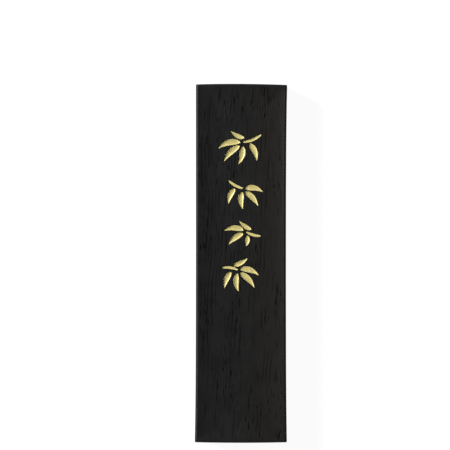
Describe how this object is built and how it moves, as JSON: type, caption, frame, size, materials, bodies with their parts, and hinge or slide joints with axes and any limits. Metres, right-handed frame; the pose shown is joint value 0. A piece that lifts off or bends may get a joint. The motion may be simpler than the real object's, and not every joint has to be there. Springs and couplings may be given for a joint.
{
  "type": "ink stick",
  "caption": "Flat oblong stick of solid black calligraphy ink with softened edges, a slightly sunk front face and gilded bamboo sprays pressed into it.",
  "frame": {"origin": "centre of the back face, which the stick lies on", "axes": "+Z out of the front face, +Y along the stick towards its top end, -Y towards the grinding end, +X to the right of the front face"},
  "size_m": [0.0327, 0.127, 0.013],
  "materials": {
    "ink": "matt black soot ink with a faint pressed grain and edges worn to a satin",
    "gilding": "matt pale gold paint, brushed into the sunk strokes"
  },
  "bodies": {
    "root": {"ink_body": "ink", "top_spray_twig": "gilding", "top_spray_left_leaf": "gilding", "top_spray_lower_left_leaf": "gilding", "top_spray_middle_leaf": "gilding", "top_spray_right_leaf": "gilding", "top_spray_upper_leaf": "gilding", "upper_spray_twig": "gilding", "upper_spray_right_leaf": "gilding", "upper_spray_lower_right_leaf": "gilding", "upper_spray_middle_leaf": "gilding", "upper_spray_left_leaf": "gilding", "lower_spray_twig": "gilding", "lower_spray_left_leaf": "gilding", "lower_spray_lower_left_leaf": "gilding", "lower_spray_middle_leaf": "gilding", "lower_spray_upper_leaf": "gilding", "low_spray_twig": "gilding", "low_spray_right_leaf": "gilding", "low_spray_lower_right_leaf": "gilding", "low_spray_middle_leaf": "gilding", "low_spray_left_leaf": "gilding", "low_spray_upper_leaf": "gilding"}
  },
  "joints": []
}
